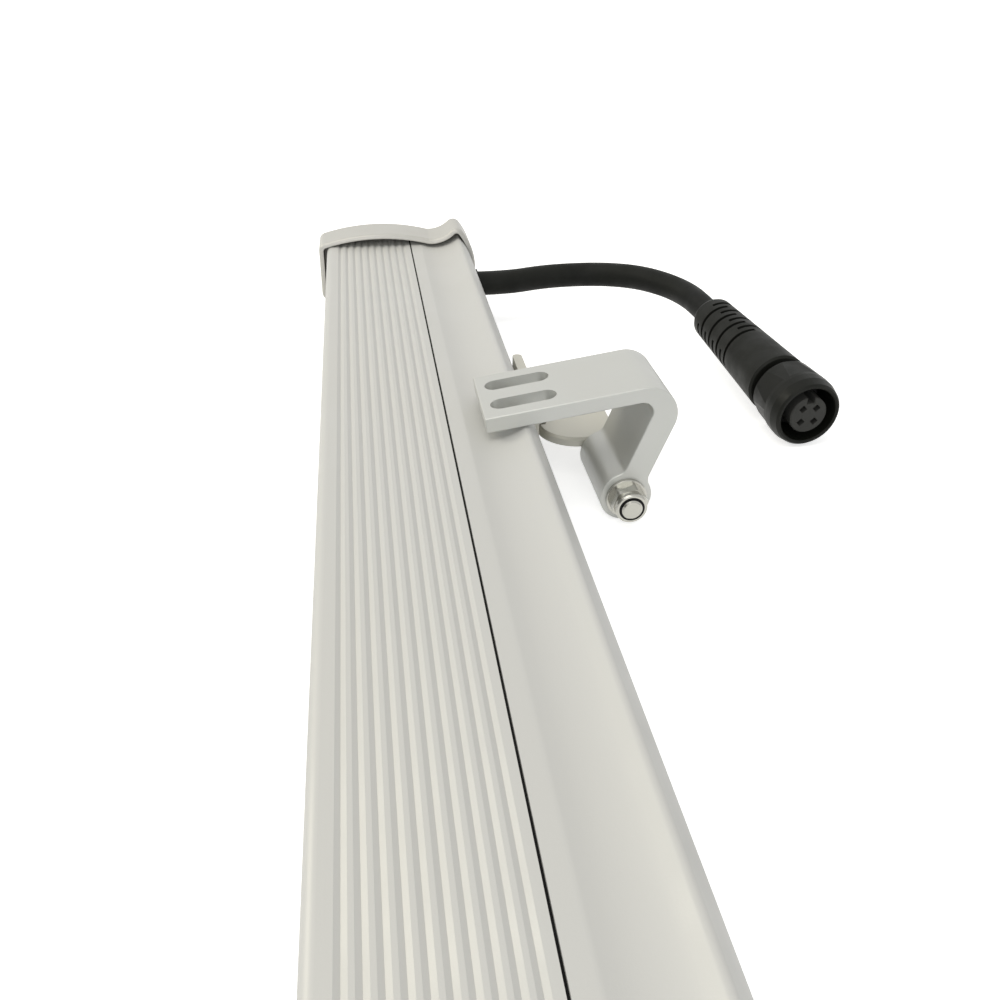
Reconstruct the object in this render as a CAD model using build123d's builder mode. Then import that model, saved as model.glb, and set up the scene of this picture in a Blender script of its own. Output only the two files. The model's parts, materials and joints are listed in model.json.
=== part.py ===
from build123d import *
import os
from math import cos, pi, radians, sin, tan

os.makedirs("parts", exist_ok=True)

# A slim outdoor wall washer. The lamp runs along Y, its light leaves downwards (-Z) through a glass
# strip, and its grooved back is the upper face. X runs from the plain front edge to the rear edge,
# where two hinged brackets and the lead are. The origin is under the middle of the object, on the
# surface that it stands on. All sizes are in millimetres.

# ---- how far a cutting shape reaches past what it cuts ----
cut_spare = 1.0

# ---- lamp body ----
lamp_length = 1000.0
cap_depth = 16.0
cap_wall = 3.0
cap_gasket_thickness = 1.0
body_width = 52.2
body_height = 17.5
front_width = 29.75
seam_gap = 0.5
seam_recess = 0.7
front_corner_radius = 2.0
lower_corner_radius = 1.5

# ---- grooves on the back of the front housing ----
groove_count = 10
groove_pitch = 2.49
groove_width = 1.7
groove_depth = 0.5
groove_first = 4.95

# ---- housing walls ----
top_wall = 3.0
side_wall = 2.5
floor_wall = 2.5
rear_wall = 6.0
tongue_length = 1.2
tongue_height = 2.0
tongue_level = 9.6
tongue_clearance = 0.1

# ---- scoop and ear along the rear housing ----
strip_width = 3.75
ear_rise = 2.0
ear_crest_inset = 4.8
ear_crest_radius = 1.2
ear_tip_height = 0.2
ear_side_height = 6.5
ear_side_bulge = 1.0
scoop_bulge = 2.0
strip_edge_radius = 2.5
rear_roof_height = 4.6
ear_port_rise = 2.6
rear_port_lift = 0.2

# ---- light engine ----
glass_width = 25.0
glass_thickness = 3.0
glass_recess = 0.2
glass_clearance = 0.25
glass_end_gap = 1.0
glass_edge = 0.3
glass_gasket_thickness = 0.6
window_width = 20.5
ledge_thickness = 1.2
engine_end_gap = 6.0
board_width = 22.0
board_thickness = 1.6
board_end_offset = 5.0
led_pitch = 40.8
led_end_margin = 20.0
led_size = 3.5
led_height = 0.9
lens_radius = 7.0
lens_throat_radius = 3.0
lens_height = 5.4
lens_gap = 0.1
holder_width = 14.8
holder_thickness = 1.5
holder_lift = 0.6
holder_post_radius = 1.5
holder_clearance = 0.15

# ---- control board and inner wires ----
control_length = 120.0
control_side_gap = 1.1
control_thickness = 1.6
control_from_end = 41.0
control_part_inset = 2.6
wire_count = 4
wire_radius = 0.6
wire_pitch = 3.0
wire_bend = 1.6
wire_hop_bend = 1.12
wire_edge = 1.2
wire_landing = 1.5
wire_clearance = 0.4
wire_slot_length = 14.0
wire_slot_height = 2.4
wire_slot_level = 5.8

# ---- end caps: how far the cup stands outside the housings ----
cap_over_front = 2.9
cap_over_bottom = 2.5
cap_over_rear = 1.6
cap_shoulder = 0.7
cap_arch = 2.85
cap_scoop_bulge = 1.5
cap_side_bulge = 1.85
cap_side_height = 8.0
cap_over_crest = 3.0
cap_crest_radius = 2.8
cap_tip_height = 1.86
cap_tip_offset = 0.65
cap_dip_offset = 2.95
cap_dip_rise = 1.2
cap_corner_radius = 3.0
cap_shell = 1.6
cap_rim_radius = 1.4
cap_edge_radius = 1.2
cap_clearance = 0.15
screw_radius = 1.5
screw_length = 12.0
screw_head_radius = 2.8
screw_head_height = 1.8
screw_recess = 0.4
screw_socket_radius = 1.0
screw_clearance = 0.1
port_wall = 1.15
port_sink = 0.7
port_gap = 0.8

# ---- hinged brackets ----
bracket_from_end = 161.2
bracket_width = 24.0
pivot_out = 20.0
pivot_below = 0.5
eye_radius = 6.35
plate_tilt = 9.0
leg_lean = 21.0
leg_thickness = 6.2
plate_thickness = 3.7
plate_clear = 0.3308
plate_free_end = 30.6
plate_corner_radius = 7.3
plate_inner_radius = 2.6
eye_fillet = 3.0
free_end_radius = 0.5
bracket_edge = 0.2
slot_length = 15.8
slot_width = 5.3
slot_centre = 20.55
slot_spacing = 10.8

# ---- hinge stud, washer and lock nut ----
stud_radius = 2.5
stud_length = 36.2
stud_chamfer = 0.4
stud_clearance = 0.05
thread_clearance = 0.02
joint_gap = 0.1
washer_radius = 5.0
washer_thickness = 1.0
nut_across_flats = 8.0
nut_height = 5.0
nut_collar_height = 1.5
nut_collar_radius = 3.9
nut_corner_radius = 4.45
nut_ring_radius = 3.1
nut_ring_height = 1.2
nut_ring_recess = 0.2
nut_edge_radius = 0.6
nut_hex_turn = 12.0
washer_clearance = 0.15
washer_edge = 0.15

# ---- hinge foot on the lamp ----
lug_thickness = 5.3
lug_radius = 5.0
pad_radius = 10.1
pad_thickness = 2.4
pad_level = 4.0
pad_inset = 5.9
pad_set_back = 10.3
pad_reach = 25.0
pad_rim = 0.6
flange_thickness = 3.2
flange_near = 3.2
flange_length = 31.8
flange_height = 13.3
flange_lift = 0.2
tab_length = 14.0
tab_gap = 0.6
tab_edge = 0.1
web_near = 12.2
foot_rib_width = 3.0
foot_rib_depth = 3.0
foot_screw_radius = 2.0
foot_screw_length = 7.0
foot_screw_hole_spare = 0.8
foot_screw_head_radius = 3.5
foot_screw_head_height = 2.2
foot_screw_socket_radius = 1.3
foot_screw_socket_depth = 1.2
foot_screw_first = 8.2
foot_screw_spacing = 8.6
foot_screw_level = 8.0

# ---- lead and connector ----
lead_diameter = 8.4
gland_from_end = 32.0
gland_level = 7.7
gland_radius = 4.7
gland_lip_radius = 5.0
gland_lip = 0.3
gland_inner_length = 7.0
gland_wire_bore = 2.6
gland_wire_depth = 2.0
gland_wire_spread = 1.2
boot_length = 48.6
boot_start_radius = 6.9
boot_end_radius = 8.9
boot_nose_length = 2.6
boot_nose_step = 0.7
boot_lip = 0.4
boot_end_edge = 0.6
boot_slot_count = 8
boot_slot_first = 6.2
boot_slot_pitch = 3.2
boot_slot_width = 1.3
boot_slot_depth = 0.9
boot_slot_arc = 120.0
boot_slot_turn = -95.0
nut_gap = 2.9
coupling_radius = 10.0
coupling_back_radius = 9.3
coupling_length = 15.7
coupling_bore = 8.1
coupling_web = 4.0
coupling_nose = 3.2
coupling_band = 2.5
coupling_edge = 0.6
coupling_nose_step = 1.08
grip_side_count = 6
grip_flat_reach = 9.0
grip_flat_length = 8.7
core_neck = 5.2
core_shoulder_radius = 7.2
core_shoulder_length = 2.5
insert_radius = 5.4
insert_recess = 0.2
insert_edge = 0.3
oring_thickness = 1.2
oring_length = 1.2
contact_count = 4
contact_ring_radius = 2.85
contact_radius = 0.75
contact_wall = 0.2
contact_length = 5.6
contact_hole = 1.7
key_width = 2.2
key_depth = 1.9
running_gap = 0.1

# ---- places worked out from the sizes above ----
lean = radians(leg_lean)
tilt = radians(plate_tilt)
rear_flat_height = body_height - ear_side_height
rear_cavity_height = body_height - rear_roof_height
ear_over_pivot = pivot_below + body_height + ear_rise
plate_under = (ear_over_pivot + plate_clear) * cos(tilt) + (pivot_out + ear_crest_inset) * sin(tilt)
plate_reach = plate_under + plate_thickness
corner_out = plate_reach - plate_corner_radius
corner_in = leg_thickness / 2 - plate_corner_radius
corner_x = (corner_out * sin(lean) + corner_in * cos(tilt)) / cos(lean + tilt)
bracket_out = corner_x + plate_corner_radius
overall_width = cap_over_front + body_width + pivot_out + bracket_out

body_front = -overall_width / 2 + cap_over_front
rail_face = body_front + body_width
pivot_x = rail_face + pivot_out
pivot_z = eye_radius
body_bottom = pivot_z + pivot_below
body_top = body_bottom + body_height
seam_front = body_front + front_width
seam_rear = seam_front + seam_gap
half_length = lamp_length / 2
body_half = half_length - cap_wall - cap_gasket_thickness
engine_half = body_half - engine_end_gap
front_middle = body_front + front_width / 2
glass_bottom = body_bottom + glass_recess
glass_top = glass_bottom + glass_thickness
ledge_bottom = glass_top + glass_gasket_thickness
engine_floor = ledge_bottom + ledge_thickness
engine_roof = body_top - top_wall
board_bottom = engine_roof - board_thickness
chip_bottom = board_bottom - led_height
lens_top = chip_bottom - lens_gap
board_end_x = front_middle + board_end_offset
lens_bottom = lens_top - lens_height
port_radius = screw_radius + screw_clearance + port_wall
front_port_level = board_bottom - port_radius - port_gap
led_count = int((2 * engine_half - 2 * led_end_margin) / led_pitch) + 1
led_ys = [(i - (led_count - 1) / 2) * led_pitch for i in range(led_count)]
post_ys = [(a + b) / 2 for a, b in zip(led_ys, led_ys[1:])]
wire_slot_y = post_ys[-1]
wire_ys = [wire_slot_y + (i - (wire_count - 1) / 2) * wire_pitch for i in range(wire_count)]
control_far_y = half_length - control_from_end
gland_y = half_length - gland_from_end
bracket_ys = {"far": half_length - bracket_from_end, "near": bracket_from_end - half_length}

strip_end = seam_rear + strip_width
ear_crest_x = rail_face - ear_crest_inset
ear_crest_z = body_top + ear_rise
ear_tip = (ear_crest_x, ear_crest_z + ear_tip_height)
ear_side_start = (rail_face, body_bottom + rear_flat_height)
rear_cavity_left = seam_rear + side_wall
rear_cavity_right = rail_face - rear_wall
rear_cavity_top = body_bottom + rear_cavity_height
ear_port_z = rear_cavity_top + ear_port_rise
rear_port_z = rear_cavity_top + rear_port_lift


def across(y):
    """The X-Z plane at a distance along the lamp; extruding from it runs towards -Y."""
    return Plane(origin=(0, y, 0), x_dir=(1, 0, 0), z_dir=(0, -1, 0))


def save(part, name):
    part.label = name
    export_step(part, f"parts/{name}.step")


def end_face(piece, direction):
    """The face of a piece that is furthest along Y (1) or against it (-1)."""
    return piece.faces().sort_by(Axis.Y)[-1 if direction > 0 else 0]


def box_between(x0, x1, y0, y1, z0, z1, mode=Mode.ADD):
    """A box given by its two corners, added to the part in hand."""
    with BuildSketch(across(y1)) as side:
        with Locations(((x0 + x1) / 2, (z0 + z1) / 2)):
            Rectangle(x1 - x0, z1 - z0)
    extrude(side.sketch, amount=y1 - y0, mode=mode)


# ---------------------------------------------------- outlines across the lamp
with BuildSketch() as front_outline:
    with Locations(((body_front + seam_front) / 2, (body_bottom + body_top) / 2)):
        Rectangle(front_width, body_height)
    outer_corners = front_outline.vertices().group_by(Axis.X)[0]
    fillet(outer_corners.sort_by(Axis.Y)[-1], radius=front_corner_radius)
    fillet(front_outline.vertices().sort_by(Axis.Y)[0:2].sort_by(Axis.X)[0], radius=lower_corner_radius)

with BuildSketch() as rear_outline:
    with BuildLine():
        Polyline(
            (strip_end, body_top),
            (seam_rear, body_top),
            (seam_rear, body_bottom),
            (rail_face, body_bottom),
            ear_side_start,
        )
        SagittaArc(ear_side_start, ear_tip, -ear_side_bulge)
        SagittaArc(ear_tip, (strip_end, body_top), scoop_bulge)
    make_face()
    fillet(rear_outline.vertices().group_by(Axis.Y)[0].sort_by(Axis.X)[-1], radius=lower_corner_radius)
    fillet(rear_outline.vertices().sort_by_distance((strip_end, body_top))[0], radius=strip_edge_radius)
    fillet(rear_outline.vertices().sort_by_distance(ear_tip)[0], radius=ear_crest_radius)

cap_left = body_front - cap_over_front
cap_right = rail_face + cap_over_rear
cap_bottom = body_bottom - cap_over_bottom
cap_rise = body_top + cap_shoulder
cap_dip = (strip_end + cap_dip_offset, cap_rise + cap_dip_rise)
cap_side_top = (cap_right, body_bottom + cap_side_height)
cap_tip = (ear_crest_x - cap_tip_offset, ear_crest_z + cap_over_crest + cap_tip_height)
with BuildSketch() as cap_outline:
    with BuildLine():
        Polyline((cap_left, cap_rise), (cap_left, cap_bottom), (cap_right, cap_bottom), cap_side_top)
        SagittaArc(cap_side_top, cap_tip, -cap_side_bulge)
        SagittaArc(cap_tip, cap_dip, cap_scoop_bulge)
        SagittaArc(cap_dip, (cap_left, cap_rise), -cap_arch)
    make_face()
    fillet(cap_outline.vertices().sort_by_distance(cap_tip)[0], radius=cap_crest_radius)
    fillet(cap_outline.vertices().group_by(Axis.Y)[0], radius=cap_corner_radius)
    fillet(cap_outline.vertices().sort_by_distance((cap_left, cap_rise))[0], radius=cap_corner_radius)

with BuildSketch() as body_outline:
    add(front_outline.sketch)
    add(rear_outline.sketch)
    with Locations(((seam_front + seam_rear) / 2, (body_bottom + body_top) / 2)):
        Rectangle(seam_gap, body_height)

# the cup of an end cap: its own shape less its wall, and at least the housings' shape
with BuildSketch() as cap_hollow:
    add(cap_outline.sketch)
    offset(amount=-cap_shell)
with BuildSketch() as cap_pocket:
    add(body_outline.sketch)
    offset(amount=cap_clearance, kind=Kind.INTERSECTION)
    add(cap_hollow.sketch)

# screws through the end caps: two into each housing
screw_points = [
    (body_front + side_wall + port_radius - port_sink, front_port_level),
    (seam_front - side_wall - port_radius + port_sink, front_port_level),
    (rear_cavity_left + port_radius - port_sink, rear_port_z),
    (ear_crest_x, ear_port_z),
]
front_ports = screw_points[0:2]
rear_port = screw_points[2]


# ---------------------------------------------------- front housing
def wire_slot():
    """The opening between the two housings that the inner wires pass through."""
    box_between(
        front_ports[-1][0] - port_radius - cut_spare,
        rear_cavity_left + cut_spare,
        wire_slot_y - wire_slot_length / 2,
        wire_slot_y + wire_slot_length / 2,
        body_bottom + wire_slot_level - wire_slot_height / 2,
        body_bottom + wire_slot_level + wire_slot_height / 2,
        mode=Mode.SUBTRACT,
    )


with BuildPart() as front_housing:
    with BuildSketch(across(body_half)):
        add(front_outline.sketch)
        for i in range(groove_count):
            middle = body_front + groove_first + i * groove_pitch
            with BuildLine(mode=Mode.PRIVATE) as groove:
                Polyline(
                    (middle - groove_width / 2, body_top),
                    (middle, body_top - groove_depth),
                    (middle + groove_width / 2, body_top),
                    (middle + groove_width / 2, body_top + cut_spare),
                    (middle - groove_width / 2, body_top + cut_spare),
                    close=True,
                )
            make_face(groove.edges(), mode=Mode.SUBTRACT)
        with Locations((front_middle, (engine_floor + engine_roof) / 2)):
            Rectangle(front_width - 2 * side_wall, engine_roof - engine_floor, mode=Mode.SUBTRACT)
        with Locations((front_middle, (body_bottom - cut_spare + ledge_bottom) / 2)):
            Rectangle(
                glass_width + 2 * glass_clearance,
                ledge_bottom - body_bottom + cut_spare,
                mode=Mode.SUBTRACT,
            )
        with Locations((front_middle, (body_bottom + engine_floor + cut_spare) / 2)):
            Rectangle(window_width, engine_floor - body_bottom + cut_spare, mode=Mode.SUBTRACT)
        with Locations(*front_ports):
            Circle(port_radius)
        with Locations(*front_ports):
            Circle(screw_radius + screw_clearance, mode=Mode.SUBTRACT)
        with Locations((seam_front - tongue_length / 2, body_bottom + tongue_level)):
            Rectangle(
                tongue_length + 2 * tongue_clearance,
                tongue_height + 2 * tongue_clearance,
                mode=Mode.SUBTRACT,
            )
    extrude(amount=2 * body_half)
    wire_slot()
save(front_housing.part, "front_housing")

# ---------------------------------------------------- rear housing
rear_screw_zone = body_bottom + foot_screw_level
foot_offsets = [foot_screw_first, foot_screw_first + foot_screw_spacing]
lug_near = bracket_width / 2 + joint_gap
gland_z = body_bottom + gland_level

with BuildPart() as rear_housing:
    with BuildSketch(across(body_half)):
        add(rear_outline.sketch)
        cavity_width = rear_cavity_right - rear_cavity_left
        cavity_bottom = body_bottom + floor_wall
        with Locations((rear_cavity_left + cavity_width / 2, (cavity_bottom + rear_cavity_top) / 2)):
            Rectangle(cavity_width, rear_cavity_top - cavity_bottom, mode=Mode.SUBTRACT)
        with Locations(rear_port):
            Circle(port_radius)
        with Locations(*screw_points[2:4]):
            Circle(screw_radius + screw_clearance, mode=Mode.SUBTRACT)
        with Locations((seam_rear - (seam_gap + tongue_length) / 2, body_bottom + tongue_level)):
            Rectangle(seam_gap + tongue_length, tongue_height)
    extrude(amount=2 * body_half)
    wire_slot()
    with BuildSketch(Plane(origin=(rail_face, 0, 0), x_dir=(0, 1, 0), z_dir=(1, 0, 0))):
        for middle in bracket_ys.values():
            with Locations(*[(middle + lug_near + step, rear_screw_zone) for step in foot_offsets]):
                Circle(foot_screw_radius + thread_clearance)
    extrude(amount=-(foot_screw_length - flange_thickness + foot_screw_hole_spare), mode=Mode.SUBTRACT)
    with BuildSketch(Plane(origin=(rail_face, gland_y, gland_z), x_dir=(0, 1, 0), z_dir=(1, 0, 0))):
        Circle(gland_radius + thread_clearance)
    extrude(amount=-rear_wall - cut_spare, mode=Mode.SUBTRACT)
save(rear_housing.part, "rear_housing")

# ---------------------------------------------------- seam gasket: a strip above and below the tongue
tongue_low = body_bottom + tongue_level - tongue_height / 2
tongue_high = body_bottom + tongue_level + tongue_height / 2
with BuildPart() as seam_gasket:
    box_between(seam_front, seam_rear, -body_half, body_half, tongue_high, body_top - seam_recess)
    box_between(seam_front, seam_rear, -body_half, body_half, body_bottom + seam_recess, tongue_low)
    wire_slot()
save(seam_gasket.part, "seam_gasket")

# ---------------------------------------------------- glass and its gasket
glass_half = body_half - glass_end_gap
with BuildPart() as front_glass:
    box_between(
        front_middle - glass_width / 2,
        front_middle + glass_width / 2,
        -glass_half,
        glass_half,
        glass_bottom,
        glass_top,
    )
    chamfer(front_glass.faces().sort_by(Axis.Z)[0].edges(), length=glass_edge)
save(front_glass.part, "front_glass")

with BuildPart() as glass_gasket:
    with BuildSketch(Plane.XY.offset(glass_top)):
        with Locations((front_middle, 0)):
            Rectangle(glass_width, 2 * glass_half)
            Rectangle(window_width, 2 * glass_half - (glass_width - window_width), mode=Mode.SUBTRACT)
    extrude(amount=glass_gasket_thickness)
save(glass_gasket.part, "glass_gasket")

# ---------------------------------------------------- light engine
with BuildPart() as led_board:
    box_between(
        front_middle - board_width / 2,
        front_middle + board_width / 2,
        -engine_half,
        engine_half,
        board_bottom,
        engine_roof,
    )
save(led_board.part, "led_board")

with BuildPart() as led_chips:
    with BuildSketch(Plane.XY.offset(chip_bottom)):
        with Locations(*[(front_middle, y) for y in led_ys]):
            Rectangle(led_size, led_size)
    extrude(amount=led_height)
save(led_chips.part, "led_chips")

with BuildPart() as led_lenses:
    with BuildSketch(Plane.XY.offset(lens_bottom)):
        with Locations(*[(front_middle, y) for y in led_ys]):
            Circle(lens_radius)
    with BuildSketch(Plane.XY.offset(lens_top)):
        with Locations(*[(front_middle, y) for y in led_ys]):
            Circle(lens_throat_radius)
    mouths = led_lenses.pending_faces[0:led_count]
    throats = led_lenses.pending_faces[led_count:]
    led_lenses.pending_faces.clear()
    for mouth, throat in zip(mouths, throats):
        loft([mouth, throat])
save(led_lenses.part, "led_lenses")

holder_bottom = lens_bottom + holder_lift
lens_slope = (lens_radius - lens_throat_radius) / lens_height
holder_bore = lens_radius - lens_slope * (holder_bottom - lens_bottom) + holder_clearance
with BuildPart() as lens_holder:
    with BuildSketch(Plane.XY.offset(holder_bottom)):
        with Locations((front_middle, 0)):
            Rectangle(holder_width, 2 * engine_half)
        with Locations(*[(front_middle, y) for y in led_ys]):
            Circle(holder_bore, mode=Mode.SUBTRACT)
        with Locations((board_end_x + holder_width / 2 - wire_radius - wire_clearance, wire_slot_y)):
            Rectangle(holder_width, wire_slot_length, mode=Mode.SUBTRACT)
    extrude(amount=holder_thickness)
    with BuildSketch(Plane.XY.offset(holder_bottom + holder_thickness)):
        with Locations(*[(front_middle, y) for y in post_ys]):
            Circle(holder_post_radius)
    extrude(amount=board_bottom - holder_bottom - holder_thickness)
save(lens_holder.part, "lens_holder")

# ---------------------------------------------------- control board, with its parts soldered on
control_left = rear_cavity_left + control_side_gap
control_right = rear_cavity_right - control_side_gap
control_near_y = control_far_y - control_length
control_top = cavity_bottom + control_thickness
# each part on the board: its distance from the near end, its length and its height
control_parts = [(15.0, 9.0, 1.8), (33.0, 6.0, 2.4), (57.0, 12.0, 3.2), (80.0, 5.0, 1.4)]
with BuildPart() as control_board:
    box_between(control_left, control_right, control_near_y, control_far_y, cavity_bottom, control_top)
    for distance, length, height in control_parts:
        box_between(
            control_left + control_part_inset,
            control_right - control_part_inset,
            control_near_y + distance - length / 2,
            control_near_y + distance + length / 2,
            control_top,
            control_top + height,
        )
save(control_board.part, "control_board")

# ---------------------------------------------------- cable gland: a nylon plug flush in the rear wall
gland_inside = (rail_face - gland_inner_length, gland_y, gland_z)
gland_back = Plane(origin=gland_inside, x_dir=(0, 1, 0), z_dir=(1, 0, 0))
with BuildPart() as cable_gland:
    with BuildSketch(gland_back):
        Circle(gland_radius)
    extrude(amount=gland_inner_length)
    with BuildSketch(gland_back.offset(gland_inner_length)):
        Circle(gland_lip_radius)
    extrude(amount=gland_lip)
    with BuildSketch(gland_back):
        Circle(gland_wire_bore)
    extrude(amount=gland_inner_length, mode=Mode.SUBTRACT)
save(cable_gland.part, "cable_gland")

# ---------------------------------------------------- inner wires
wire_rise = body_bottom + wire_slot_level
wire_start_x = rail_face - gland_wire_depth
hop_x = control_right - control_part_inset
tail_y = control_far_y - wire_landing
tail_step = (control_right - control_left - 2 * wire_edge) / (wire_count - 1)
gland_fan = [(1, -1), (-1, -1), (1, 1), (-1, 1)]
with BuildPart() as internal_wires:
    for y in wire_ys:
        with BuildLine() as hop:
            FilletPolyline(
                (hop_x, y, control_top),
                (hop_x, y, wire_rise),
                (board_end_x, y, wire_rise),
                (board_end_x, y, board_bottom),
                radius=wire_hop_bend,
            )
        with BuildSketch(Plane(origin=hop.line @ 0, z_dir=hop.line % 0)):
            Circle(wire_radius)
        sweep(path=hop.line)
    for i, (side, lift) in enumerate(gland_fan):
        wire_y = gland_y + side * gland_wire_spread
        wire_z = gland_z + lift * gland_wire_spread
        landing_x = control_left + wire_edge + i * tail_step
        with BuildLine() as tail:
            FilletPolyline(
                (wire_start_x, wire_y, wire_z),
                (landing_x, wire_y, wire_z),
                (landing_x, tail_y, wire_z),
                (landing_x, tail_y, control_top),
                radius=wire_bend,
            )
        with BuildSketch(Plane(origin=tail.line @ 0, z_dir=tail.line % 0)):
            Circle(wire_radius)
        sweep(path=tail.line)
save(internal_wires.part, "internal_wires")

# ---------------------------------------------------- end caps, their gaskets and screws
for name, end in (("far", 1), ("near", -1)):
    outer = across(end * half_length) if end > 0 else across(end * half_length + cap_depth)
    with BuildPart() as end_cap:
        with BuildSketch(outer):
            add(cap_outline.sketch)
        extrude(amount=cap_depth)
        fillet(end_face(end_cap, -end).edges(), radius=cap_rim_radius)
        fillet(end_face(end_cap, end).edges(), radius=cap_edge_radius)
        pocket = half_length - cap_wall if end > 0 else -half_length + cap_depth
        with BuildSketch(across(pocket)):
            add(cap_pocket.sketch)
        extrude(amount=cap_depth - cap_wall, mode=Mode.SUBTRACT)
        with BuildSketch(across(half_length if end > 0 else -half_length + cap_wall)):
            with Locations(*screw_points):
                Circle(screw_radius + screw_clearance)
        extrude(amount=cap_wall, mode=Mode.SUBTRACT)
        head_start = half_length if end > 0 else -half_length + screw_head_height
        with BuildSketch(across(head_start)):
            with Locations(*screw_points):
                Circle(screw_head_radius + screw_clearance)
        extrude(amount=screw_head_height, mode=Mode.SUBTRACT)
    save(end_cap.part, f"{name}_end_cap")

    gasket_start = end * (half_length - cap_wall) if end > 0 else -body_half
    with BuildPart() as cap_gasket:
        with BuildSketch(across(gasket_start)):
            add(body_outline.sketch)
            with Locations(*screw_points):
                Circle(screw_radius + screw_clearance, mode=Mode.SUBTRACT)
        extrude(amount=cap_gasket_thickness)
    save(cap_gasket.part, f"{name}_cap_gasket")

    with BuildPart() as cap_screws:
        for x, z in screw_points:
            head = Plane(origin=(x, end * half_length, z), x_dir=(1, 0, 0), z_dir=(0, -end, 0))
            with BuildSketch(head):
                Circle(screw_head_radius)
            extrude(amount=screw_head_height)
            with BuildSketch(head):
                Circle(screw_radius)
            extrude(amount=screw_length)
            with BuildSketch(head):
                RegularPolygon(screw_socket_radius, 6)
            extrude(amount=screw_head_height - screw_recess, mode=Mode.SUBTRACT)
    save(cap_screws.part, f"{name}_cap_screws")


# ---------------------------------------------------- brackets and their hinge pieces
def along_plate(u, reach):
    """A point on the bracket, measured from the hinge along and square to the tilted plate."""
    return (u * cos(tilt) - reach * sin(tilt), u * sin(tilt) + reach * cos(tilt))


def leg_meets_plate(leg_offset, reach):
    """Where a line beside the leg's middle meets a line at that reach from the hinge."""
    x = (reach * sin(lean) + leg_offset * cos(tilt)) / cos(lean + tilt)
    return (x, (reach + x * sin(tilt)) / cos(tilt))


def hinge_plane(y):
    return Plane(origin=(pivot_x, y, pivot_z), x_dir=(1, 0, 0), z_dir=(0, -1, 0))


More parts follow.
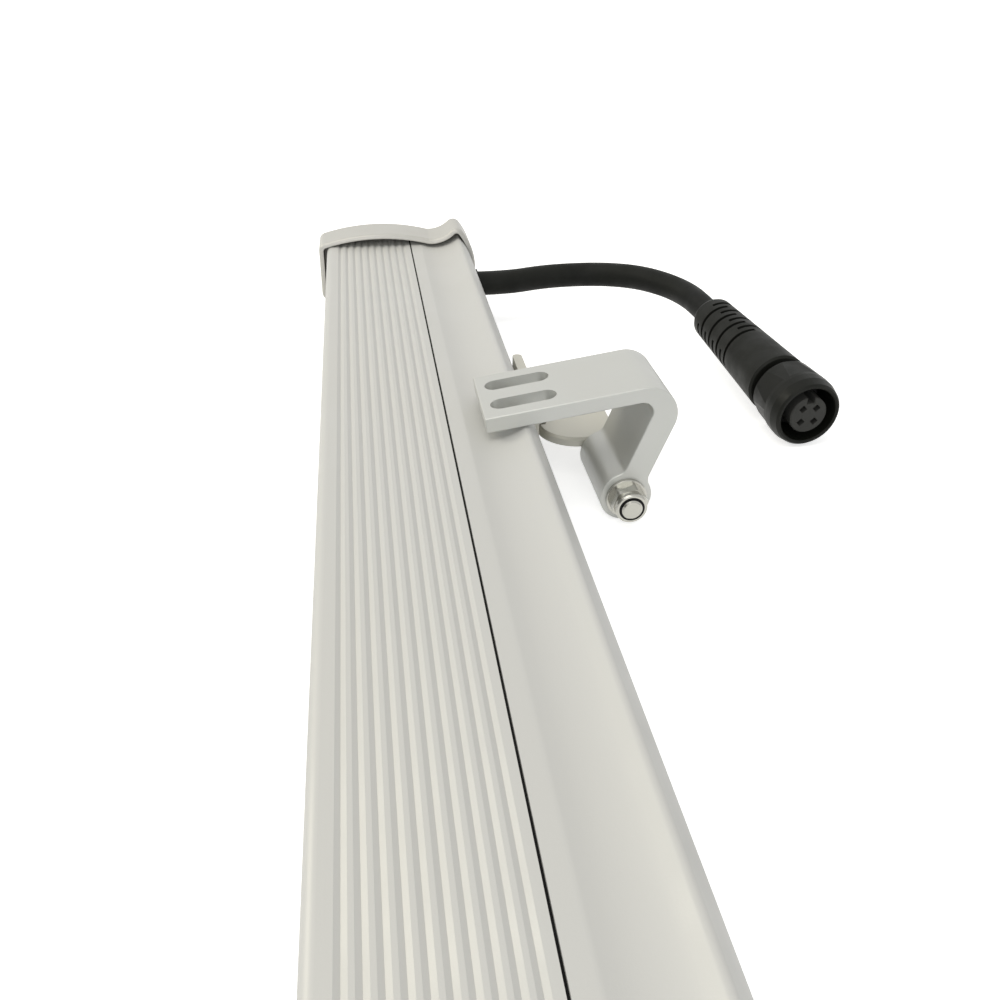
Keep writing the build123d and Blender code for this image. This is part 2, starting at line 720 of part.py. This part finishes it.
half_leg = leg_thickness / 2
outer_corner = leg_meets_plate(half_leg, plate_reach)
inner_corner = leg_meets_plate(-half_leg, plate_reach - plate_thickness)
for name, middle in bracket_ys.items():
    far_side = middle + bracket_width / 2
    near_side = middle - bracket_width / 2
    with BuildPart() as mounting_bracket:
        with BuildSketch(hinge_plane(far_side)) as profile:
            with BuildLine():
                Polyline(
                    (-half_leg * cos(lean), half_leg * sin(lean)),
                    (half_leg * cos(lean), -half_leg * sin(lean)),
                    outer_corner,
                    along_plate(-plate_free_end, plate_reach),
                    along_plate(-plate_free_end, plate_reach - plate_thickness),
                    inner_corner,
                    close=True,
                )
            make_face()
            fillet(profile.vertices().sort_by_distance(outer_corner)[0], radius=plate_corner_radius)
            fillet(profile.vertices().sort_by_distance(inner_corner)[0], radius=plate_inner_radius)
            free_end = along_plate(-plate_free_end, plate_reach - plate_thickness / 2)
            fillet(profile.vertices().sort_by_distance(free_end)[0:2], radius=free_end_radius)
            Circle(eye_radius)
            necks = [
                vertex
                for vertex in profile.vertices()
                if abs((vertex.X**2 + vertex.Y**2) ** 0.5 - eye_radius) < 0.01 and vertex.Y > 0
            ]
            fillet(necks, radius=eye_fillet)
            Circle(stud_radius + stud_clearance, mode=Mode.SUBTRACT)
        extrude(amount=bracket_width)
        slot_x, slot_z = along_plate(-slot_centre, plate_reach)
        slot_plane = Plane(
            origin=(pivot_x + slot_x, middle, pivot_z + slot_z),
            x_dir=(cos(tilt), 0, sin(tilt)),
            z_dir=(-sin(tilt), 0, cos(tilt)),
        )
        with BuildSketch(slot_plane):
            with Locations((0, slot_spacing / 2), (0, -slot_spacing / 2)):
                SlotOverall(slot_length, slot_width)
        extrude(amount=-plate_thickness - cut_spare, mode=Mode.SUBTRACT)
        chamfer(mounting_bracket.faces().sort_by(Axis.Y)[0].outer_wire().edges(), length=bracket_edge)
        chamfer(mounting_bracket.faces().sort_by(Axis.Y)[-1].outer_wire().edges(), length=bracket_edge)
    save(mounting_bracket.part, f"{name}_mounting_bracket")

    # the cast foot: a lug behind the bracket, a tongue over it, a web and a flange against the lamp
    lug_front = far_side + joint_gap
    pad_x = pivot_x - pad_inset
    pad_y = lug_front + pad_set_back
    pad_end = lug_front + pad_reach
    pad_top = pivot_z + pad_level
    web_start = lug_front + web_near
    flange_start = lug_front + flange_near
    flange_end = flange_start + flange_length
    flange_face = rail_face + flange_thickness
    flange_bottom = body_bottom + flange_lift
    with BuildPart() as hinge_foot:
        with BuildSketch(Plane.XY.offset(pad_top)):
            with Locations((pad_x, pad_y)):
                Circle(pad_radius)
            with Locations((pad_x, (pad_y + pad_end) / 2)):
                Rectangle(2 * pad_radius, pad_end - pad_y)
        extrude(amount=-pad_thickness)
        chamfer(hinge_foot.faces().sort_by(Axis.Z)[-1].edges(), length=pad_rim)
        with BuildSketch(Plane.XY.offset(pad_top - pad_rim)):
            with Locations(((rail_face + pad_x) / 2, (web_start + pad_end) / 2)):
                Rectangle(pad_x - rail_face, pad_end - web_start)
        extrude(amount=pad_rim - pad_thickness)
        box_between(
            pad_x - foot_rib_width / 2,
            pad_x + foot_rib_width / 2,
            pad_y,
            pad_end,
            pad_top - pad_thickness - foot_rib_depth,
            pad_top - pad_thickness,
        )
        with BuildSketch(hinge_plane(lug_front + lug_thickness)):
            Circle(lug_radius)
            with Locations((0, pad_level - pad_rim + lug_radius)):
                Rectangle(2 * lug_radius, 2 * lug_radius, mode=Mode.SUBTRACT)
        extrude(amount=lug_thickness)
        with BuildSketch(Plane.XY.offset(flange_bottom)) as flange_plan:
            with BuildLine():
                Polyline(
                    (rail_face, flange_start),
                    (flange_face, flange_start),
                    (flange_face, flange_end),
                    (rail_face + tab_gap, flange_end),
                    (rail_face + tab_gap, flange_end - tab_length),
                    (rail_face, flange_end - tab_length),
                    close=True,
                )
            make_face()
            tab_tip = flange_plan.vertices().sort_by(Axis.Y)[-2:]
            fillet(tab_tip, radius=(flange_thickness - tab_gap) / 2 - tab_edge)
        extrude(amount=flange_height)
        with BuildSketch(Plane(origin=(rail_face, 0, 0), x_dir=(0, 1, 0), z_dir=(1, 0, 0))):
            with Locations(*[(lug_front + step, rear_screw_zone) for step in foot_offsets]):
                Circle(foot_screw_radius + screw_clearance)
        extrude(amount=flange_thickness, mode=Mode.SUBTRACT)
        with BuildSketch(hinge_plane(lug_front + lug_thickness)):
            Circle(stud_radius + thread_clearance)
        extrude(amount=lug_thickness, mode=Mode.SUBTRACT)
    save(hinge_foot.part, f"{name}_hinge_foot")

    # stud, washer and lock nut: the stack starts at the lug and ends in front of the bracket
    stud_back = lug_front + lug_thickness
    with BuildPart() as hinge_stud:
        with BuildSketch(hinge_plane(stud_back)):
            Circle(stud_radius)
        extrude(amount=stud_length)
        chamfer(end_face(hinge_stud, -1).edges(), length=stud_chamfer)
    save(hinge_stud.part, f"{name}_hinge_stud")

    washer_back = near_side - joint_gap
    with BuildPart() as washer:
        with BuildSketch(hinge_plane(washer_back)):
            Circle(washer_radius)
            Circle(stud_radius + washer_clearance, mode=Mode.SUBTRACT)
        extrude(amount=washer_thickness)
        chamfer(end_face(washer, -1).outer_wire().edges(), length=washer_edge)
    save(washer.part, f"{name}_washer")

    nut_back = washer_back - washer_thickness
    hex_height = nut_height - nut_collar_height
    ring_back = hinge_plane(nut_back - nut_height + nut_ring_height)
    with BuildPart() as lock_nut:
        with BuildSketch(hinge_plane(nut_back)):
            RegularPolygon(nut_across_flats / 2, 6, major_radius=False, rotation=nut_hex_turn)
            Circle(nut_corner_radius, mode=Mode.INTERSECT)
        extrude(amount=hex_height)
        with BuildSketch(hinge_plane(nut_back - hex_height)):
            Circle(nut_collar_radius)
        extrude(amount=nut_collar_height)
        fillet(end_face(lock_nut, -1).edges(), radius=nut_edge_radius)
        with BuildSketch(hinge_plane(nut_back)):
            Circle(stud_radius + thread_clearance)
        extrude(amount=nut_height, mode=Mode.SUBTRACT)
        with BuildSketch(ring_back):
            Circle(nut_ring_radius)
        extrude(amount=nut_ring_height, mode=Mode.SUBTRACT)
    save(lock_nut.part, f"{name}_lock_nut")

    with BuildPart() as nut_insert:
        with BuildSketch(ring_back):
            Circle(nut_ring_radius)
            Circle(stud_radius + thread_clearance, mode=Mode.SUBTRACT)
        extrude(amount=nut_ring_height - nut_ring_recess)
    save(nut_insert.part, f"{name}_nut_insert")

    with BuildPart() as foot_screws:
        for step in foot_offsets:
            seat = Plane(
                origin=(flange_face, lug_front + step, rear_screw_zone),
                x_dir=(0, 1, 0),
                z_dir=(1, 0, 0),
            )
            with BuildSketch(seat):
                Circle(foot_screw_head_radius)
            extrude(amount=foot_screw_head_height)
            with BuildSketch(seat.offset(foot_screw_head_height)):
                RegularPolygon(foot_screw_socket_radius, 6)
            extrude(amount=-foot_screw_socket_depth, mode=Mode.SUBTRACT)
            with BuildSketch(seat):
                Circle(foot_screw_radius)
            extrude(amount=-foot_screw_length)
    save(foot_screws.part, f"{name}_foot_screws")

# ---------------------------------------------------- lead: a short stiff cable from gland to connector
lead_mouth = Vector(rail_face + gland_lip, gland_y, gland_z)
# the corners of its route, measured from the mouth of the gland
lead_corners = [
    (0.0, 0.0, 0.0),
    (11.0, 0.0, 0.0),
    (23.6, 3.8, 0.35),
    (35.1, 4.4, 0.65),
    (46.4, 1.3, 1.45),
    (56.9, -5.5, 2.25),
    (65.1, -15.2, 2.2),
    (69.7, -25.4, 1.8),
    (71.4, -35.1, 1.17),
    (72.2, -43.0, 0.55),
]
lead_route = [lead_mouth + Vector(*corner) for corner in lead_corners]
runs = [b - a for a, b in zip(lead_route, lead_route[1:])]
lead_radii = [
    0.45 * min(a.length, b.length) / tan(radians(a.get_angle(b)) / 2) for a, b in zip(runs, runs[1:])
]
with BuildPart() as lead_cord:
    with BuildLine() as lead_path:
        FilletPolyline(*lead_route, radius=lead_radii)
    with BuildSketch(Plane(origin=lead_path.line @ 0, z_dir=lead_path.line % 0)):
        Circle(lead_diameter / 2)
    sweep(path=lead_path.line)
lead_length = sum(edge.length for edge in lead_path.edges())
lead_volume = lead_length * pi * lead_diameter**2 / 4
print("lead length", round(lead_length, 1), "radii", [round(r, 1) for r in lead_radii])
print("lead volume", round(lead_cord.part.volume, 1), "section x length", round(lead_volume, 1))
save(lead_cord.part, "lead_cord")

# ---------------------------------------------------- connector, turned about its own tilted axis
connector_start = lead_route[-1]
connector_aim = runs[-1].normalized()
connector_side = Vector(0, 0, 1).cross(connector_aim).normalized()
connector_up = connector_aim.cross(connector_side)
connector_axis = Axis(connector_start, connector_aim)
nut_start = boot_length + nut_gap
nut_end = nut_start + coupling_length
core_shoulder = nut_start + coupling_web
insert_base = core_shoulder + core_shoulder_length
insert_face = nut_end - insert_recess
for station, place in ((nut_start, "nut back"), (nut_end, "nut front")):
    print(place, [round(c, 4) for c in connector_start + connector_aim * station])
print("aim", [round(c, 6) for c in connector_aim])


def across_connector(station):
    """The plane square to the connector's axis, that far from the end of the lead, with Y upwards."""
    return Plane(origin=connector_start + connector_aim * station, x_dir=connector_side, z_dir=connector_aim)


def along_connector(turn=0.0):
    """The plane along the connector's axis: X is the station and Y the radius, turned from upright."""
    radial = connector_up * cos(radians(turn)) - connector_side * sin(radians(turn))
    return Plane(origin=connector_start, x_dir=connector_aim, z_dir=connector_aim.cross(radial))


with BuildPart() as connector_boot:
    with BuildSketch(along_connector()):
        with BuildLine():
            Polyline(
                (0, 0),
                (0, lead_diameter / 2 + boot_lip),
                (boot_nose_length * 0.4, boot_start_radius - boot_nose_step),
                (boot_nose_length, boot_start_radius),
                (boot_length - boot_end_edge, boot_end_radius),
                (boot_length, boot_end_radius - boot_end_edge),
                (boot_length, 0),
                close=True,
            )
        make_face()
    revolve(axis=connector_axis)
    slope = (boot_end_radius - boot_start_radius) / (boot_length - boot_nose_length)
    for i in range(boot_slot_count):
        station = boot_slot_first + i * boot_slot_pitch
        surface = boot_start_radius + slope * (station - boot_nose_length)
        for half_turn in (0, 180):
            with BuildSketch(along_connector(boot_slot_turn + 90 * (i % 2) + half_turn)) as slot:
                with Locations((station, surface)):
                    Rectangle(boot_slot_width, 2 * boot_slot_depth)
            revolve(slot.sketch, axis=connector_axis, revolution_arc=boot_slot_arc, mode=Mode.SUBTRACT)
save(connector_boot.part, "connector_boot")

with BuildPart() as connector_core:
    with BuildSketch(across_connector(boot_length)):
        Circle(core_neck)
    extrude(amount=core_shoulder - boot_length)
    with BuildSketch(across_connector(core_shoulder)):
        Circle(core_shoulder_radius)
    extrude(amount=core_shoulder_length)
save(connector_core.part, "connector_core")

with BuildPart() as coupling_nut:
    with BuildSketch(along_connector()):
        with BuildLine():
            Polyline(
                (nut_start, core_neck + running_gap),
                (nut_start, coupling_back_radius - coupling_edge),
                (nut_start + coupling_edge, coupling_back_radius),
                (nut_end - coupling_nose - coupling_band, coupling_radius),
                (nut_end - coupling_nose, coupling_radius),
                (nut_end - coupling_edge, coupling_radius - coupling_edge),
                (nut_end, coupling_radius - coupling_nose_step),
                (nut_end, coupling_bore + coupling_edge / 2),
                (nut_end - coupling_edge / 2, coupling_bore),
                (core_shoulder - running_gap, coupling_bore),
                (core_shoulder - running_gap, core_neck + running_gap),
                close=True,
            )
        make_face()
    revolve(axis=connector_axis)
    with BuildSketch(across_connector(nut_start)):
        Circle(coupling_radius + cut_spare)
        RegularPolygon(grip_flat_reach, grip_side_count, major_radius=False, mode=Mode.SUBTRACT)
    extrude(amount=grip_flat_length, mode=Mode.SUBTRACT)
save(coupling_nut.part, "coupling_nut")

with BuildPart() as connector_insert:
    with BuildSketch(across_connector(insert_base)):
        Circle(insert_radius)
        with Locations((0, insert_radius)):
            Rectangle(key_width, 2 * key_depth, mode=Mode.SUBTRACT)
        with PolarLocations(contact_ring_radius, contact_count, start_angle=180 / contact_count):
            Rectangle(contact_hole, contact_hole, mode=Mode.SUBTRACT)
    extrude(amount=insert_face - insert_base)
    chamfer(connector_insert.faces().sort_by(connector_axis)[-1].outer_wire().edges(), length=insert_edge)
save(connector_insert.part, "connector_insert")

with BuildPart() as contact_sockets:
    with BuildSketch(across_connector(insert_base)):
        with PolarLocations(contact_ring_radius, contact_count, start_angle=180 / contact_count):
            Circle(contact_radius)
            Circle(contact_radius - contact_wall, mode=Mode.SUBTRACT)
    extrude(amount=contact_length)
save(contact_sockets.part, "contact_sockets")

with BuildPart() as connector_oring:
    with BuildSketch(across_connector(insert_base)):
        Circle(insert_radius + thread_clearance + oring_thickness)
        Circle(insert_radius + thread_clearance, mode=Mode.SUBTRACT)
    extrude(amount=oring_length)
save(connector_oring.part, "connector_oring")

print("overall width", round(overall_width, 2), "reach", round(plate_reach, 4), "rail", round(rail_face, 4))
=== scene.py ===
import json
import math

import bpy
from mathutils import Matrix, Vector


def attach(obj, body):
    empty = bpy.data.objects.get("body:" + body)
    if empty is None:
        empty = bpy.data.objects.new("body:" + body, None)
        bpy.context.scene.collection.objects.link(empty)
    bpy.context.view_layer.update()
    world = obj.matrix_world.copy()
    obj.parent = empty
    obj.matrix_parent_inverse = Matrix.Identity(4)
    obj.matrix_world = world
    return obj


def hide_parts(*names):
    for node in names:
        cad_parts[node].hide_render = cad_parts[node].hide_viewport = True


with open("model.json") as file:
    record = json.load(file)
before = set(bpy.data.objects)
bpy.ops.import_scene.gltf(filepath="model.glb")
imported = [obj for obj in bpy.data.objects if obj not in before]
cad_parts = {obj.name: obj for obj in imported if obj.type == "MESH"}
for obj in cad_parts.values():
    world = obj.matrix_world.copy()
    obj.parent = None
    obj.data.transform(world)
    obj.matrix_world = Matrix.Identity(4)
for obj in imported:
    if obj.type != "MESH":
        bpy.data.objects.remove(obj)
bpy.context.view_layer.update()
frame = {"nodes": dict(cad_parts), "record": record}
nodes = frame["nodes"]
scene = bpy.context.scene
MM = 0.001


# ---------------------------------------------------------------- camera
CAMERA_PLACE = Vector((-27.92, 123.0, 127.35)) * MM
CAMERA_RIGHT = Vector((0.99065, -0.13602, 0.010))
CAMERA_UP = Vector((0.05988, 0.49961, 0.86418))
SENSOR = 36.0
FOCAL_IN_FRAMES = 1.0


def make_camera():
    data = bpy.data.cameras.new("photo_camera")
    data.sensor_width = SENSOR
    data.lens = SENSOR * FOCAL_IN_FRAMES
    data.clip_start = 0.005
    data.clip_end = 100.0
    camera = bpy.data.objects.new("photo_camera", data)
    back = CAMERA_RIGHT.cross(CAMERA_UP).normalized()
    up = back.cross(CAMERA_RIGHT).normalized()
    turn = Matrix((CAMERA_RIGHT.normalized(), up, back)).transposed()
    camera.matrix_world = Matrix.Translation(CAMERA_PLACE) @ turn.to_4x4()
    scene.collection.objects.link(camera)
    scene.camera = camera


make_camera()


# ---------------------------------------------------------------- materials
def srgb(red, green, blue):
    """A colour given as it looks on a screen, 0 to 255, in the linear values that a shader takes."""
    parts = []
    for value in (red, green, blue):
        value /= 255.0
        parts.append(value / 12.92 if value <= 0.04045 else ((value + 0.055) / 1.055) ** 2.4)
    return (*parts, 1.0)


# noise: the range that most of its values lie in, and its fineness for each use
NOISE_LOW = 0.3
NOISE_HIGH = 0.7
COLOUR_DETAIL = 3.0
ROUGHNESS_DETAIL = 4.0
RELIEF_DETAIL = 2.0

# depths of relief in metres
COATING_GRAIN = 0.000012
COATING_WAVE = COATING_GRAIN * 1.6
SCRATCH_DEPTH = 0.0000015
MOULDED_GRAIN = 0.00002

MOULDED_SPECULAR = 0.14


class Finish:
    """A principled material with helpers that add its colour, roughness and relief."""

    def __init__(self, name, colour, roughness, metallic=0.0, specular=0.5):
        self.material = bpy.data.materials.new(name)
        self.material.use_nodes = True
        self.tree = self.material.node_tree
        self.shader = self.tree.nodes["Principled BSDF"]
        self.colour = colour
        self.shader.inputs["Base Color"].default_value = colour
        self.shader.inputs["Roughness"].default_value = roughness
        self.shader.inputs["Metallic"].default_value = metallic
        self.shader.inputs["Specular IOR Level"].default_value = specular
        self.place = self.tree.nodes.new("ShaderNodeTexCoord").outputs["Object"]
        self.height = None

    def node(self, kind, **values):
        made = self.tree.nodes.new(kind)
        for key, value in values.items():
            setattr(made, key, value)
        return made

    def link(self, source, target):
        self.tree.links.new(source, target)

    def stretched(self, along):
        """The object's coordinates, scaled along each axis."""
        mapping = self.node("ShaderNodeMapping")
        mapping.inputs["Scale"].default_value = along
        self.link(self.place, mapping.inputs["Vector"])
        return mapping.outputs["Vector"]

    def noise(self, scale, detail, along=None):
        texture = self.node("ShaderNodeTexNoise")
        texture.inputs["Scale"].default_value = scale
        texture.inputs["Detail"].default_value = detail
        self.link(self.stretched(along) if along else self.place, texture.inputs["Vector"])
        return texture.outputs["Fac"]

    def spread(self, value, low, high):
        """Maps the middle of a noise, where most of its values lie, onto a range."""
        ramp = self.node("ShaderNodeMapRange")
        ramp.inputs["From Min"].default_value = NOISE_LOW
        ramp.inputs["From Max"].default_value = NOISE_HIGH
        ramp.inputs["To Min"].default_value = low
        ramp.inputs["To Max"].default_value = high
        self.link(value, ramp.inputs["Value"])
        return ramp.outputs["Result"]

    def vary_colour(self, other, scale, amount, along=None):
        """Drifts the colour towards another one in soft patches."""
        mix = self.node("ShaderNodeMix", data_type="RGBA")
        mix.inputs["A"].default_value = self.colour
        mix.inputs["B"].default_value = other
        patches = self.noise(scale, COLOUR_DETAIL, along)
        self.link(self.spread(patches, 0.0, amount), mix.inputs["Factor"])
        self.link(mix.outputs["Result"], self.shader.inputs["Base Color"])

    def vary_roughness(self, low, high, scale, along=None):
        patches = self.noise(scale, ROUGHNESS_DETAIL, along)
        self.link(self.spread(patches, low, high), self.shader.inputs["Roughness"])

    def relief(self, scale, depth, along=None):
        """Adds fine bumps of a depth in metres."""
        bump = self.node("ShaderNodeBump")
        bump.inputs["Strength"].default_value = 1.0
        bump.inputs["Distance"].default_value = depth
        self.link(self.noise(scale, RELIEF_DETAIL, along), bump.inputs["Height"])
        if self.height is not None:
            self.link(self.height, bump.inputs["Normal"])
        self.height = bump.outputs["Normal"]
        self.link(self.height, self.shader.inputs["Normal"])


def coated(name, colour, tint, roughness, metallic):
    """Satin powder coat or blasted anodising: soft colour drift, a fine even grain."""
    finish = Finish(name, colour, roughness, metallic)
    finish.vary_colour(tint, 9.0, 0.5, along=(1.0, 0.25, 1.0))
    finish.vary_roughness(roughness - 0.05, roughness + 0.07, 60.0)
    finish.relief(2600.0, COATING_GRAIN)
    finish.relief(160.0, COATING_WAVE)
    return finish


def bright(name, colour, roughness, scratch_scale, along):
    """Bare metal with fine turning or drawing marks."""
    finish = Finish(name, colour, roughness, metallic=1.0)
    finish.vary_roughness(roughness - 0.04, roughness + 0.08, 250.0, along)
    finish.relief(scratch_scale, SCRATCH_DEPTH, along)
    return finish


def moulded(name, colour, tint, roughness):
    """Moulded rubber or plastic with a faint texture and dusty patches."""
    finish = Finish(name, colour, roughness, specular=MOULDED_SPECULAR)
    finish.vary_colour(tint, 70.0, 0.8)
    finish.vary_roughness(roughness - 0.08, roughness + 0.12, 180.0)
    finish.relief(1500.0, MOULDED_GRAIN)
    return finish


def clear(name, colour, roughness, bending, wave_scale, wave_depth):
    """Glass or acrylic that light goes through, with a very slight wave."""
    finish = Finish(name, colour, roughness)
    finish.shader.inputs["Transmission Weight"].default_value = 1.0
    finish.shader.inputs["IOR"].default_value = bending
    finish.relief(wave_scale, wave_depth)
    return finish


def make_materials():
    made = {
        "body_paint": coated("body_paint", srgb(208, 207, 202), srgb(202, 204, 205), 0.5, metallic=0.15),
        "cap_paint": coated("cap_paint", srgb(200, 197, 187), srgb(188, 191, 194), 0.4, metallic=0.25),
        "bracket_aluminium": coated(
            "bracket_aluminium", srgb(198, 198, 192), srgb(205, 207, 205), 0.38, metallic=0.4
        ),
        "foot_paint": coated("foot_paint", srgb(208, 205, 193), srgb(198, 198, 189), 0.4, metallic=0.25),
        "bright_steel": bright("bright_steel", srgb(176, 175, 168), 0.18, 900.0, (1.0, 1.0, 6.0)),
        "black_rubber": moulded("black_rubber", srgb(22, 22, 22), srgb(30, 30, 30), 0.62),
        "lead_jacket": moulded("lead_jacket", srgb(20, 21, 19), srgb(31, 32, 28), 0.55),
        "boot_rubber": moulded("boot_rubber", srgb(23, 24, 21), srgb(33, 34, 30), 0.5),
        "black_nylon": moulded("black_nylon", srgb(24, 24, 25), srgb(34, 34, 34), 0.45),
        "connector_plastic": moulded("connector_plastic", srgb(21, 22, 19), srgb(30, 31, 27), 0.42),
        "insert_plastic": moulded("insert_plastic", srgb(62, 62, 60), srgb(72, 72, 69), 0.5),
        "contact_brass": bright("contact_brass", srgb(205, 165, 95), 0.3, 1200.0, (1.0, 1.0, 1.0)),
        "holder_plastic": moulded("holder_plastic", srgb(34, 34, 34), srgb(42, 42, 42), 0.5),
        "white_board": moulded("white_board", srgb(232, 232, 226), srgb(222, 222, 216), 0.4),
        "led_yellow": moulded("led_yellow", srgb(236, 205, 96), srgb(226, 190, 80), 0.3),
        "green_board": moulded("green_board", srgb(24, 84, 44), srgb(30, 96, 52), 0.35),
        "wire_sleeve": moulded("wire_sleeve", srgb(150, 36, 30), srgb(160, 44, 36), 0.4),
        "clear_glass": clear("clear_glass", srgb(244, 250, 248), 0.03, 1.5, 40.0, 0.000004),
        "lens_acrylic": clear("lens_acrylic", srgb(246, 248, 250), 0.06, 1.49, 300.0, 0.000006),
    }
    return {slot: finish.material for slot, finish in made.items()}


MATERIALS = make_materials()


def dress(obj, slot):
    obj.data.materials.clear()
    obj.data.materials.append(MATERIALS[slot])


for part in frame["record"]["subparts"]:
    dress(nodes[part["node"]], part["material_slot"])


# ---------------------------------------------------------------- lead
# the same diameter and route as the lead's solid
LEAD_DIAMETER = 8.4 * MM
LEAD_STEPS = 16
LEAD_ROUNDNESS = 8
LEAD_ROUTE_MM = [
    (12.3825, 468.0, 14.55),
    (23.3825, 468.0, 14.55),
    (35.9825, 471.8, 14.9),
    (47.4825, 472.4, 15.2),
    (58.7825, 469.3, 16.0),
    (69.2825, 462.5, 16.8),
    (77.4825, 452.8, 16.75),
    (82.0825, 442.6, 16.35),
    (83.7825, 432.9, 15.72),
    (84.5825, 425.0, 15.1),
]
LEAD_ROUTE = [Vector(point) * MM for point in LEAD_ROUTE_MM]


def make_lead():
    data = bpy.data.curves.new("lead", "CURVE")
    data.dimensions = "3D"
    spline = data.splines.new("NURBS")
    spline.points.add(len(LEAD_ROUTE) - 1)
    for target, place in zip(spline.points, LEAD_ROUTE):
        target.co = (*place, 1.0)
    spline.order_u = 3
    spline.use_endpoint_u = True
    spline.resolution_u = LEAD_STEPS
    data.bevel_depth = LEAD_DIAMETER / 2
    data.bevel_resolution = LEAD_ROUNDNESS
    lead = bpy.data.objects.new("lead", data)
    scene.collection.objects.link(lead)
    data.materials.append(MATERIALS["lead_jacket"])
    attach(lead, "lamp")
    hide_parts("lead_cord")
    return lead, spline.calc_length()


lead, lead_length = make_lead()


# ---------------------------------------------------------------- floor, world and lamps
FLOOR_HALF = 15.0
FLOOR_DROP = 0.0002
FLOOR_ROUGHNESS = 0.9
FLOOR_WHITE = (0.9, 0.9, 0.9)
FLOOR_BOUNCE = (0.30, 0.31, 0.32)
FLOOR_LIFT = 0.62
# the room's colour at each height, from the horizon to overhead
ROOM_STOPS = (
    (0.0, (0.38, 0.40, 0.42)),
    (0.2, (0.48, 0.49, 0.50)),
    (0.5, (0.54, 0.54, 0.53)),
    (1.0, (0.58, 0.57, 0.54)),
)


def rays_that_see_white(tree):
    """One for rays from the camera and for mirrored and refracted ones, so that metal shows white too."""
    path = tree.nodes.new("ShaderNodeLightPath")
    either = path.outputs["Is Camera Ray"]
    for kind in ("Is Glossy Ray", "Is Transmission Ray"):
        larger = tree.nodes.new("ShaderNodeMath")
        larger.operation = "MAXIMUM"
        tree.links.new(either, larger.inputs[0])
        tree.links.new(path.outputs[kind], larger.inputs[1])
        either = larger.outputs[0]
    return either


def make_floor():
    """A white table: bright to the camera and in mirrors, duller in the light that it throws back."""
    mesh = bpy.data.meshes.new("floor")
    corners = [(x * FLOOR_HALF, y * FLOOR_HALF, 0) for x, y in ((-1, -1), (1, -1), (1, 1), (-1, 1))]
    mesh.from_pydata(corners, [], [(0, 1, 2, 3)])
    floor = bpy.data.objects.new("floor", mesh)
    floor.location.z = -FLOOR_DROP
    scene.collection.objects.link(floor)
    material = bpy.data.materials.new("floor")
    material.use_nodes = True
    tree = material.node_tree
    shader = tree.nodes["Principled BSDF"]
    shader.inputs["Roughness"].default_value = FLOOR_ROUGHNESS
    shader.inputs["Specular IOR Level"].default_value = 0.0
    shader.inputs["Emission Color"].default_value = (1, 1, 1, 1)
    seen = rays_that_see_white(tree)
    tone = tree.nodes.new("ShaderNodeMix")
    tone.data_type = "RGBA"
    tone.inputs["A"].default_value = (*FLOOR_BOUNCE, 1.0)
    tone.inputs["B"].default_value = (*FLOOR_WHITE, 1.0)
    tree.links.new(seen, tone.inputs["Factor"])
    tree.links.new(tone.outputs["Result"], shader.inputs["Base Color"])
    lift = tree.nodes.new("ShaderNodeMath")
    lift.operation = "MULTIPLY"
    lift.inputs[1].default_value = FLOOR_LIFT
    tree.links.new(seen, lift.inputs[0])
    tree.links.new(lift.outputs[0], shader.inputs["Emission Strength"])
    mesh.materials.append(material)


def make_world(stops):
    """A room that changes with height: cool and dim at the horizon, warm and bright overhead."""
    world = bpy.data.worlds.new("studio")
    scene.world = world
    world.use_nodes = True
    tree = world.node_tree
    background = tree.nodes["Background"]
    where = tree.nodes.new("ShaderNodeTexCoord")
    split = tree.nodes.new("ShaderNodeSeparateXYZ")
    tree.links.new(where.outputs["Generated"], split.inputs["Vector"])
    ramp = tree.nodes.new("ShaderNodeValToRGB")
    tree.links.new(split.outputs["Z"], ramp.inputs["Fac"])
    points = ramp.color_ramp.elements
    while len(points) < len(stops):
        points.new(0.5)
    for point, (height, colour) in zip(points, stops):
        point.position = height
        point.color = (*colour, 1.0)
    mix = tree.nodes.new("ShaderNodeMix")
    mix.data_type = "RGBA"
    mix.inputs["B"].default_value = (1, 1, 1, 1)
    tree.links.new(rays_that_see_white(tree), mix.inputs["Factor"])
    tree.links.new(ramp.outputs["Color"], mix.inputs["A"])
    tree.links.new(mix.outputs["Result"], background.inputs["Color"])
    background.inputs["Strength"].default_value = 1.0


def make_lamp(name, kind, towards, strength, colour):
    """A lamp that shines from the direction towards, which points from the object to the light."""
    data = bpy.data.lights.new(name, kind)
    data.energy = strength
    data.color = colour
    lamp = bpy.data.objects.new(name, data)
    lamp.rotation_euler = towards.to_track_quat("Z", "Y").to_euler()
    scene.collection.objects.link(lamp)
    return lamp


def make_sun(name, towards, strength, softness, colour):
    """A soft, even lamp, as wide in the sky as softness says, in degrees."""
    sun = make_lamp(name, "SUN", Vector(towards), strength, colour)
    sun.data.angle = math.radians(softness)


def make_area(name, place, aim, size, power, colour):
    """A round lamp at a place, turned to an aim."""
    lamp = make_lamp(name, "AREA", Vector(place) - Vector(aim), power, colour)
    lamp.location = place
    lamp.data.shape = "DISK"
    lamp.data.size = size


make_floor()
make_world(ROOM_STOPS)
make_sun("key", (-0.3, -0.2, 0.93), 0.70, 40.0, (1.0, 0.97, 0.90))
make_area("side_glow", (-0.60, 0.60, 0.44), (0.02, 0.05, 0.0), 0.30, 1.5, (1.0, 0.95, 0.80))
make_area("near_light", (-0.05, -0.45, 0.34), (0.0, 0.3, 0.0), 0.50, 1.5, (0.97, 0.985, 1.0))

scene.view_settings.view_transform = "Standard"
